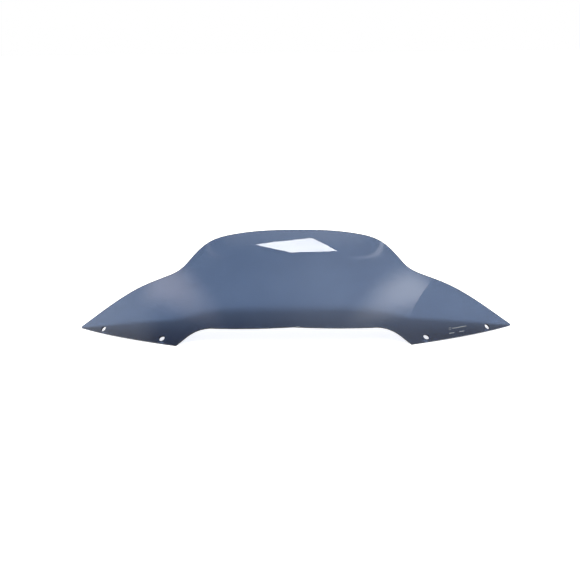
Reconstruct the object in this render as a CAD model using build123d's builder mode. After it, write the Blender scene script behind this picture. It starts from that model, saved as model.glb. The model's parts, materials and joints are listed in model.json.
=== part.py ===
"""Touring-motorcycle windshield screen: one formed acrylic sheet and the mark printed on it.

Frame: X across the screen, -Y to the front, +Z up. The origin is in the plane that the wings
stand on, midway across the screen and midway through its depth.
"""

from build123d import *
import os
from math import radians, tan

# The sheet and its bends, in millimetres and degrees
SHEET = 2.4  # thickness of the sheet
RAKE = 39  # lean of the sheet above the horizontal, on the centre line
NOSE_RADIUS = 625  # radius of the horizontal section at the centre line
SWEEP = 6.7e-9  # fourth-power term of that section, which turns the wings back
LIP_START = 99.7  # height at which the top begins to turn up, on the centre line
LIP_FALL = 2.5e-4  # square-law drop of that height towards the shoulders
LIP_EASE = 5  # half the height over which the bend sets in
LIP_RAKE = 58  # lean of the sheet at its top edge, on the centre line
SETBACK = 92.26  # brings the middle of the screen's depth to the origin

# The outline, seen from the front
CROWN_HEIGHT = 138.7  # top edge above the plane that the wings stand on
HALF_SPAN = 311.5  # centre line to the point of a wing
WING_EDGE = -0.25  # height of the feet and the wing tips, which their rounding brings up to zero
WING_ARCH = (236, 1.5)  # top of the shallow arch of a wing's lower edge
FOOT_X = 161  # centre line to the inner corner of a wing's lower edge
NOTCH_TOP = 24.1  # height of the notch between the feet, on the centre line
NOTCH_SHOULDER = (131, 21.1)  # where the notch turns down towards the foot
NOTCH_CAMBER = 3200  # radius of the notch's shallow top curve
NOTCH_BEND = 62  # radius of its turn towards the foot
CORNER_ROUND = 2  # radius of the feet and of the wing tips
EDGE_ROUND = 0.5  # radius of the polished rim

# Fastening holes, drilled square to the sheet
HOLE_DIAMETER = 8.4
HOLE_XS = (181.5, 271.5)
HOLE_HEIGHT = 6.1  # of a hole's centre, on the inner face

# The mark printed on the outer face of the wing at +X: a ring and a long bar over two short bars
INK = 0.12  # thickness of the ink
INK_GAP = 0.02  # hair of clearance between the ink and the sheet
MARK_X = 228  # the mark's middle
MARK_Z = 10.7
MARK_WIDTH = 26
MARK_ROWS = 5  # height of the upper row above the lower one
BAR_HEIGHT = 1.1
SHORT_BAR = 7.5
RING_RADIUS = 1.7
RING_WIDTH = 0.6

# The grid of points that each curved face passes through
MARGIN = 8  # how far the faces run past the outline
GRID_COLUMNS = 32
GRID_ROWS = 38

RAKE_SLOPE = 1 / tan(radians(RAKE))
LIP_LENGTH = CROWN_HEIGHT - LIP_START
LIP_BEND = (RAKE_SLOPE - 1 / tan(radians(LIP_RAKE))) / LIP_LENGTH


def lip(x, z):
    """How far the lip brings the sheet forward at x and z, and by how much it steepens it."""
    rise = z - LIP_START + LIP_FALL * x**2
    if rise < -LIP_EASE:
        return 0, 0
    if rise < LIP_EASE:
        eased = rise + LIP_EASE
        return LIP_BEND * eased**3 / (12 * LIP_EASE), LIP_BEND * eased**2 / (4 * LIP_EASE)
    return LIP_BEND * (rise**2 / 2 + LIP_EASE**2 / 6), LIP_BEND * rise


def inner_point(x, z):
    """The inner face at x and z: a swept plan, leaned back, with a lip that turns up."""
    plan = x**2 / (2 * NOSE_RADIUS) + SWEEP * x**4
    forward, steeper = lip(x, z)
    return Vector(x, plan + RAKE_SLOPE * z - forward - SETBACK, z)


def outward(x, z):
    """Unit normal of the inner face at x and z, pointing to the front and up."""
    forward, steeper = lip(x, z)
    slope_x = x / NOSE_RADIUS + 4 * SWEEP * x**3 - steeper * 2 * LIP_FALL * x
    return Vector(slope_x, -1, RAKE_SLOPE - steeper).normalized()


def face_over(x_low, x_high, z_low, z_high, lift=0):
    """The inner face over a rectangle in x and z, moved out by lift along its normal."""
    grid = []
    for i in range(GRID_COLUMNS + 1):
        x = x_low + (x_high - x_low) * i / GRID_COLUMNS
        heights = [z_low + (z_high - z_low) * j / GRID_ROWS for j in range(GRID_ROWS + 1)]
        grid.append([inner_point(x, z) + outward(x, z) * lift for z in heights])
    return Face.make_surface_from_array_of_points(grid, tol=0.001, min_deg=3, max_deg=5)


# The outline: half of it, then its mirror image
with BuildSketch(Plane.XZ) as outline:
    with BuildLine():
        Spline(
            (0, CROWN_HEIGHT),
            (50, 137.2),
            (90, 132.1),
            (122.5, 121.9),
            (147, 101.7),
            (162.5, 86.7),
            (182, 77.2),
            (218, 62.5),
            (260, 37.7),
            (HALF_SPAN, WING_EDGE),
            tangents=((1, 0), (1, -0.75)),
        )
        ThreePointArc((HALF_SPAN, WING_EDGE), WING_ARCH, (FOOT_X, WING_EDGE))
        Line((FOOT_X, WING_EDGE), NOTCH_SHOULDER)
        RadiusArc(NOTCH_SHOULDER, (0, NOTCH_TOP), NOTCH_CAMBER)
        Line((0, NOTCH_TOP), (0, CROWN_HEIGHT))
    make_face()
    shoulder = outline.vertices().filter_by(lambda v: abs(v.X - NOTCH_SHOULDER[0]) < 1)
    fillet(shoulder, radius=NOTCH_BEND)
    mirror(about=Plane.YZ)

# The inner face, trimmed to the outline, so that the rim comes out square to the sheet
whole_face = face_over(-HALF_SPAN - MARGIN, HALF_SPAN + MARGIN, -MARGIN, CROWN_HEIGHT + MARGIN)
trimmed_face = whole_face & extrude(outline.sketch, amount=CROWN_HEIGHT, both=True)

holes = [
    Plane(inner_point(x, HOLE_HEIGHT), z_dir=outward(x, HOLE_HEIGHT))
    for x in (-HOLE_XS[1], -HOLE_XS[0], HOLE_XS[0], HOLE_XS[1])
]

with BuildPart() as screen:
    thicken(trimmed_face, amount=SHEET, normal_override=(0, -1, 1))
    across = screen.edges().filter_by(lambda e: abs(e.length - SHEET) < SHEET / 100)
    fillet(across.filter_by(lambda e: (e @ 0.5).Z < SHEET), radius=CORNER_ROUND)
    along = screen.edges().filter_by(lambda e: abs(e.length - SHEET) > SHEET / 100)
    fillet(along, radius=EDGE_ROUND)
    with Locations(*holes):
        Cylinder(HOLE_DIAMETER / 2, 4 * SHEET, mode=Mode.SUBTRACT)
screen.part.label = "screen"

with BuildSketch(Plane.XZ) as mark_outline:
    left = MARK_X - MARK_WIDTH / 2
    right = MARK_X + MARK_WIDTH / 2
    upper = MARK_Z + MARK_ROWS / 2
    lower = MARK_Z - MARK_ROWS / 2
    with Locations((left + RING_RADIUS, upper)):
        Circle(RING_RADIUS)
        Circle(RING_RADIUS - RING_WIDTH, mode=Mode.SUBTRACT)
    long_bar = MARK_WIDTH - 3 * RING_RADIUS
    with Locations((right - long_bar / 2, upper)):
        Rectangle(long_bar, BAR_HEIGHT)
    with Locations((left + SHORT_BAR / 2, lower), (right - SHORT_BAR, lower)):
        Rectangle(SHORT_BAR, BAR_HEIGHT)

ink_face = face_over(left - MARGIN, right + MARGIN, 0, 2 * MARK_Z, lift=SHEET + INK_GAP)
ink_shapes = ink_face & extrude(mark_outline.sketch, amount=CROWN_HEIGHT, both=True)

with BuildPart() as printed_mark:
    thicken(ink_shapes.faces(), amount=INK, normal_override=(0, -1, 1))
printed_mark.part.label = "printed_mark"

os.makedirs("parts", exist_ok=True)
export_step(screen.part, "parts/screen.step")
export_step(printed_mark.part, "parts/printed_mark.step")
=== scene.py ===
"""Looks for the touring-motorcycle windshield screen: smoked acrylic, its printed mark, studio and camera."""

import json
from math import cos, radians, sin, tan

import bpy
from mathutils import Matrix, Vector

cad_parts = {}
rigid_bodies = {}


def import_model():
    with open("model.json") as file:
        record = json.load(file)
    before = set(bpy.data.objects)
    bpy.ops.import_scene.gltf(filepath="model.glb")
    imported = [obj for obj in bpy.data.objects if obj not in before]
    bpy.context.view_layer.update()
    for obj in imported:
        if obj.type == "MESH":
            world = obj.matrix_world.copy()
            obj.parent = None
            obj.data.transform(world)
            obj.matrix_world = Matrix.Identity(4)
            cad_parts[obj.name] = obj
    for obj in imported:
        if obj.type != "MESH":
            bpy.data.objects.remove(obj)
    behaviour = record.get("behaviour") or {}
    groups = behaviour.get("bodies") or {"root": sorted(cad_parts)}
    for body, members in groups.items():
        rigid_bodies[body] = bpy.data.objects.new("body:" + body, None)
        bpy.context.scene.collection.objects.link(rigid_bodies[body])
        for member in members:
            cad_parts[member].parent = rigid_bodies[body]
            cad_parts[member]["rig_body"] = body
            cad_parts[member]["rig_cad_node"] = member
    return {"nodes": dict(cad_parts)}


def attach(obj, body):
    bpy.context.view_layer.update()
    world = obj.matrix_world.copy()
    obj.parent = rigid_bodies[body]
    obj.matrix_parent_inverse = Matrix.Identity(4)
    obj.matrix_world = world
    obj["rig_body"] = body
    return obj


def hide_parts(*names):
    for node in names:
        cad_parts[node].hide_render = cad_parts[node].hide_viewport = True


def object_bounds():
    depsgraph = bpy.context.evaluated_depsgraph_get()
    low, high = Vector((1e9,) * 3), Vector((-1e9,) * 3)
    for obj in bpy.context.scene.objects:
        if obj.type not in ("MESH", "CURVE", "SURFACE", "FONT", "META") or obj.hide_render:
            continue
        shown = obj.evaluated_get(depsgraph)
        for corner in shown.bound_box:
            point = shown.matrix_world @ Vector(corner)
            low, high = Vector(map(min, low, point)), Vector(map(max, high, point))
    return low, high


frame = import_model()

cad_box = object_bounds()

# Camera
LENS = 85
SENSOR = 36
ELEVATION = radians(11.38)
YAW = radians(1.52)
ROLL = radians(-0.69)
DISTANCE = 1.9047
AIM = Vector((-0.0051, -0.0201, -0.0018))  # from the middle of the object's box

# The curves of the formed sheet, in metres, as in the CAD part. The shading follows them, except at the
# dome's shoulders, where it leaves out the lip's turn although the shape keeps it.
RAKE_SLOPE = 1 / tan(radians(39))
LIP_RAKE_SLOPE = 1 / tan(radians(58))  # the same at the top edge
NOSE_RADIUS = 0.625
SWEEP = 6.7
LIP_START = 0.0997
LIP_FALL = 0.25
LIP_EASE = 0.005
LIP_TOP = 0.1387
LIP_BEND = (RAKE_SLOPE - LIP_RAKE_SLOPE) / (LIP_TOP - LIP_START)
LIP_FADE = (0.095, 0.135)  # from the centre line: the lip's turn is shaded in full, then not at all
RIM_TURN = 0.995  # a normal whose cosine to the sheet's own is below this belongs to the rim

# Materials
TINT = (0.073, 0.114, 0.210, 1)
TINT_THIN = (0.082, 0.126, 0.226, 1)
ACRYLIC_IOR = 1.49
POLISH_ROUGHNESS = 0.015
INK_DARK = (0.075, 0.09, 0.11, 1)
INK_PALE = (0.125, 0.14, 0.165, 1)

# Studio, in metres. The cards are placed so that the sheet mirrors them where its highlights lie.
SQUARE = [(-1, -1), (1, -1), (1, 1), (-1, 1)]
SKY_COLOUR = (1.0, 0.98, 0.95, 1)
SKY_LEVEL = 0.36
SKY_STEPS = (  # direction's axis, where along it the sky starts and ends a change, and by how much
    ("X", -0.2, 0.1, 0.6),
    ("X", -0.5, -0.66, 0.75),
    ("Y", -0.1, -0.5, 0.9),
    ("X", 0.35, 0.75, -0.2),
)
FLOOR_HALF_SIZE = 14
FLOOR_COLOUR = (0.82, 0.82, 0.82, 1)
FLOOR_LIFT = 0.7  # light added to the floor where the camera sees it directly
KEY_POWER = 135
KEY_SIZE = 1.1
KEY_DIRECTION = (0.05, -0.58, 0.82)
KEY_DISTANCE = 4
GLOW_HEIGHT = 3.0
SOFTBOX_HEIGHT = 5.5
SOFTBOX_CORNERS = [(-0.94, -1.418), (-0.182, -0.552), (0.704, -0.685), (0.243, -2.277)]
STREAK_LOW = 0.86  # the softbox's dimmest streak, as a share of its strength
SLANTED = [(-1, -1), (-0.07, -1), (0.70, 1), (-1, 1)]


def middle(box):
    low, high = box
    return (Vector(low) + Vector(high)) / 2


def make_camera():
    data = bpy.data.cameras.new("camera")
    data.lens = LENS
    data.sensor_width = SENSOR
    data.clip_end = 100
    camera = bpy.data.objects.new("camera", data)
    bpy.context.scene.collection.objects.link(camera)
    back = Vector((sin(YAW) * cos(ELEVATION), -cos(YAW) * cos(ELEVATION), sin(ELEVATION)))
    flat = Vector((0, 0, 1)).cross(back).normalized()
    right = cos(ROLL) * flat + sin(ROLL) * back.cross(flat)
    turn = Matrix((right, back.cross(right), back)).transposed().to_4x4()
    camera.matrix_world = Matrix.Translation(middle(cad_box) + AIM + back * DISTANCE) @ turn
    bpy.context.scene.camera = camera


def outward(point, share=1):
    """The formed sheet's unit normal near a point of a broad face, with this share of the lip's turn."""
    rise = point.z - LIP_START + LIP_FALL * point.x**2
    if rise < -LIP_EASE:
        steeper = 0
    elif rise < LIP_EASE:
        steeper = LIP_BEND * (rise + LIP_EASE) ** 2 / (4 * LIP_EASE)
    else:
        steeper = LIP_BEND * rise
    steeper *= share
    across = point.x / NOSE_RADIUS + 4 * SWEEP * point.x**3 - steeper * 2 * LIP_FALL * point.x
    return Vector((across, -1, RAKE_SLOPE - steeper)).normalized()


class Tree:
    """A node tree, with short ways to add and join nodes."""

    def __init__(self, owner):
        owner.use_nodes = True
        self.owner = owner
        self.tree = owner.node_tree
        self.tree.nodes.clear()

    def add(self, kind, values=(), **settings):
        node = self.tree.nodes.new(kind)
        for name, value in settings.items():
            setattr(node, name, value)
        for name, value in dict(values).items():
            if isinstance(value, bpy.types.NodeSocket):
                self.tree.links.new(value, node.inputs[name])
            else:
                node.inputs[name].default_value = value
        return node

    def noise(self, scale, detail=3, stretch=(1, 1, 1), distortion=0):
        where = self.add("ShaderNodeTexCoord")
        spread = self.add("ShaderNodeMapping", {"Vector": where.outputs["Object"], "Scale": stretch})
        return self.add(
            "ShaderNodeTexNoise",
            {"Vector": spread.outputs[0], "Scale": scale, "Detail": detail, "Distortion": distortion},
        ).outputs[0]

    def ramp(self, value, low, high, to_low, to_high):
        return self.add(
            "ShaderNodeMapRange",
            {"Value": value, "From Min": low, "From Max": high, "To Min": to_low, "To Max": to_high},
        ).outputs[0]

    def blend(self, share, first, second):
        node = self.add("ShaderNodeMix", data_type="RGBA")
        for socket, value in zip((node.inputs[0], node.inputs[6], node.inputs[7]), (share, first, second)):
            if isinstance(value, bpy.types.NodeSocket):
                self.tree.links.new(value, socket)
            else:
                socket.default_value = value
        return node.outputs[2]


def smoked_acrylic():
    """Tinted clear acrylic: faint drifts of tint, polishing swirls and fine dust."""
    tree = Tree(bpy.data.materials.new("smoked_acrylic"))
    drift = tree.ramp(tree.noise(14, 2), 0.35, 0.65, 0, 1)
    tint = tree.blend(drift, TINT, TINT_THIN)
    swirls = tree.ramp(tree.noise(900, 2, (1, 0.15, 0.15), 1.5), 0.62, 0.75, 0.0, 0.05)
    dust = tree.ramp(tree.noise(2600, 1), 0.72, 0.8, 0.0, 0.25)
    rough = tree.add("ShaderNodeMath", {0: swirls, 1: dust}, operation="MAXIMUM").outputs[0]
    rough = tree.add("ShaderNodeMath", {0: rough, 1: POLISH_ROUGHNESS}, operation="ADD").outputs[0]
    peel = tree.add(
        "ShaderNodeBump", {"Height": tree.noise(22, 2), "Strength": 0.12, "Distance": 0.0004}
    ).outputs[0]
    glass = tree.add(
        "ShaderNodeBsdfPrincipled",
        {
            "Base Color": tint,
            "Roughness": rough,
            "IOR": ACRYLIC_IOR,
            "Transmission Weight": 1.0,
            "Normal": peel,
        },
    )
    clear = tree.add("ShaderNodeBsdfTransparent", {"Color": TINT})
    path = tree.add("ShaderNodeLightPath")
    mix = tree.add(
        "ShaderNodeMixShader",
        {0: path.outputs["Is Shadow Ray"], 1: glass.outputs[0], 2: clear.outputs[0]},
    )
    tree.add("ShaderNodeOutputMaterial", {"Surface": mix.outputs[0]})
    return tree.owner


def ink():
    """Thin screen-printing ink, slightly uneven."""
    tree = Tree(bpy.data.materials.new("screen_print_ink"))
    speckle = tree.ramp(tree.noise(1500, 3), 0.35, 0.65, 0, 1)
    colour = tree.blend(speckle, INK_DARK, INK_PALE)
    rough = tree.ramp(speckle, 0, 1, 0.5, 0.38)
    paint = tree.add("ShaderNodeBsdfPrincipled", {"Base Color": colour, "Roughness": rough})
    tree.add("ShaderNodeOutputMaterial", {"Surface": paint.outputs[0]})
    return tree.owner


def formed_sheet():
    """The screen, shaded from its formula so that reflections run smooth, but without the lip's turn at
    the shoulders."""
    sheet = frame["nodes"]["screen"].copy()
    sheet.data = sheet.data.copy()
    sheet.name = sheet.data.name = "formed_sheet"
    sheet.parent = None
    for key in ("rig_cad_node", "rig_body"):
        del sheet[key]
    bpy.context.scene.collection.objects.link(sheet)
    mesh = sheet.data
    fade_start, fade_end = LIP_FADE
    normals = []
    for corner in mesh.loops:
        own = Vector(mesh.corner_normals[corner.index].vector)
        spot = mesh.vertices[corner.vertex_index].co
        side = own.dot(outward(spot))
        if abs(side) > RIM_TURN:
            share = (fade_end - abs(spot.x)) / (fade_end - fade_start)
            smooth = outward(spot, min(max(share, 0), 1))
            own = smooth if side > 0 else -smooth
        normals.append(own)
    mesh.normals_split_custom_set(normals)
    mesh.materials.clear()
    mesh.materials.append(smoked_acrylic())
    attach(sheet, "root")
    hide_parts("screen")


def card(
    name,
    corners,
    colour,
    strength,
    centre=(0, 0),
    size=(1, 1),
    turn=0,
    height=GLOW_HEIGHT,
    soft=False,
    streaks=False,
):
    """A lit card over the object that only reflections see. Its corners are in units of its own half size."""
    mesh = bpy.data.meshes.new(name)
    mesh.from_pydata([(x, y, 0) for x, y in corners], [], [tuple(range(len(corners)))])
    piece = bpy.data.objects.new(name, mesh)
    bpy.context.scene.collection.objects.link(piece)
    piece.location = (*centre, height)
    piece.rotation_euler = (0, 0, turn)
    piece.scale = (*size, 1)
    tree = Tree(bpy.data.materials.new(name))
    level = strength
    where = tree.add("ShaderNodeTexCoord").outputs["Object"]
    if soft:
        fade = tree.add("ShaderNodeTexGradient", {"Vector": where}, gradient_type="SPHERICAL").outputs[1]
        eased = tree.add(
            "ShaderNodeMapRange", {"Value": fade, "To Max": strength}, interpolation_type="SMOOTHERSTEP"
        )
        level = eased.outputs[0]
    if streaks:
        level = tree.ramp(tree.noise(1.6, 2, (0.35, 2.2, 1)), 0.35, 0.65, STREAK_LOW * strength, strength)
    glow = tree.add("ShaderNodeEmission", {"Color": (*colour, 1), "Strength": level})
    if soft:
        clear = tree.add("ShaderNodeBsdfTransparent")
        glow = tree.add("ShaderNodeAddShader", {0: glow.outputs[0], 1: clear.outputs[0]})
    tree.add("ShaderNodeOutputMaterial", {"Surface": glow.outputs[0]})
    mesh.materials.append(tree.owner)
    piece.visible_camera = False
    piece.visible_diffuse = False
    piece.visible_transmission = False
    piece.visible_shadow = False


def sky():
    """White where the camera sees it, and otherwise a soft light that changes with direction."""
    world = bpy.data.worlds.new("studio")
    bpy.context.scene.world = world
    tree = Tree(world)
    path = tree.add("ShaderNodeLightPath")
    where = tree.add("ShaderNodeTexCoord").outputs["Generated"]
    along = tree.add("ShaderNodeSeparateXYZ", {0: where}).outputs
    level = SKY_LEVEL
    for axis, near, far, rise in SKY_STEPS:
        step = tree.add(
            "ShaderNodeMapRange",
            {"Value": along[axis], "From Min": near, "From Max": far, "To Max": rise},
            interpolation_type="SMOOTHSTEP",
        ).outputs[0]
        level = tree.add("ShaderNodeMath", {0: level, 1: step}, operation="ADD").outputs[0]
    soft = tree.add("ShaderNodeBackground", {"Color": SKY_COLOUR, "Strength": level})
    white = tree.add("ShaderNodeBackground", {"Color": (1, 1, 1, 1), "Strength": 1.0})
    mix = tree.add(
        "ShaderNodeMixShader",
        {0: path.outputs["Is Camera Ray"], 1: soft.outputs[0], 2: white.outputs[0]},
    )
    tree.add("ShaderNodeOutputWorld", {"Surface": mix.outputs[0]})


def pale_floor():
    mesh = bpy.data.meshes.new("floor")
    corners = [(x * FLOOR_HALF_SIZE, y * FLOOR_HALF_SIZE, 0) for x, y in SQUARE]
    mesh.from_pydata(corners, [], [(0, 1, 2, 3)])
    floor = bpy.data.objects.new("floor", mesh)
    bpy.context.scene.collection.objects.link(floor)
    tree = Tree(bpy.data.materials.new("floor"))
    path = tree.add("ShaderNodeLightPath")
    pale = tree.add("ShaderNodeBsdfDiffuse", {"Color": FLOOR_COLOUR})
    lift = tree.ramp(path.outputs["Is Camera Ray"], 0, 1, 0.0, FLOOR_LIFT)
    glow = tree.add("ShaderNodeEmission", {"Strength": lift})
    both = tree.add("ShaderNodeAddShader", {0: pale.outputs[0], 1: glow.outputs[0]})
    tree.add("ShaderNodeOutputMaterial", {"Surface": both.outputs[0]})
    mesh.materials.append(tree.owner)


def key_light():
    """The lamp that throws the shadow, which reflections don't see."""
    lamp = bpy.data.lights.new("key", "AREA")
    lamp.energy = KEY_POWER
    lamp.size = KEY_SIZE
    key = bpy.data.objects.new("key", lamp)
    bpy.context.scene.collection.objects.link(key)
    key.location = Vector(KEY_DIRECTION).normalized() * KEY_DISTANCE
    key.rotation_euler = key.location.to_track_quat("Z", "Y").to_euler()
    key.visible_camera = False
    key.visible_glossy = False
    key.visible_transmission = False


def mirrored_cards():
    card("softbox_top", SOFTBOX_CORNERS, (1, 1, 1), 21, height=SOFTBOX_HEIGHT, streaks=True)
    card(
        "glow_left",
        SQUARE,
        (1, 0.86, 0.82),
        2.5,
        centre=(-1.812, 0.414),
        size=(1.28, 0.142),
        turn=-0.428,
        soft=True,
    )
    card(
        "glow_right",
        SLANTED,
        (1, 0.985, 1),
        3.5,
        centre=(1.403, 0.243),
        size=(1.18, 0.123),
        turn=0.34,
        soft=True,
    )


make_camera()
sky()
pale_floor()
key_light()
mirrored_cards()
formed_sheet()
mark = frame["nodes"]["printed_mark"]
mark.data.materials.clear()
mark.data.materials.append(ink())

bpy.context.scene.view_settings.view_transform = "Standard"
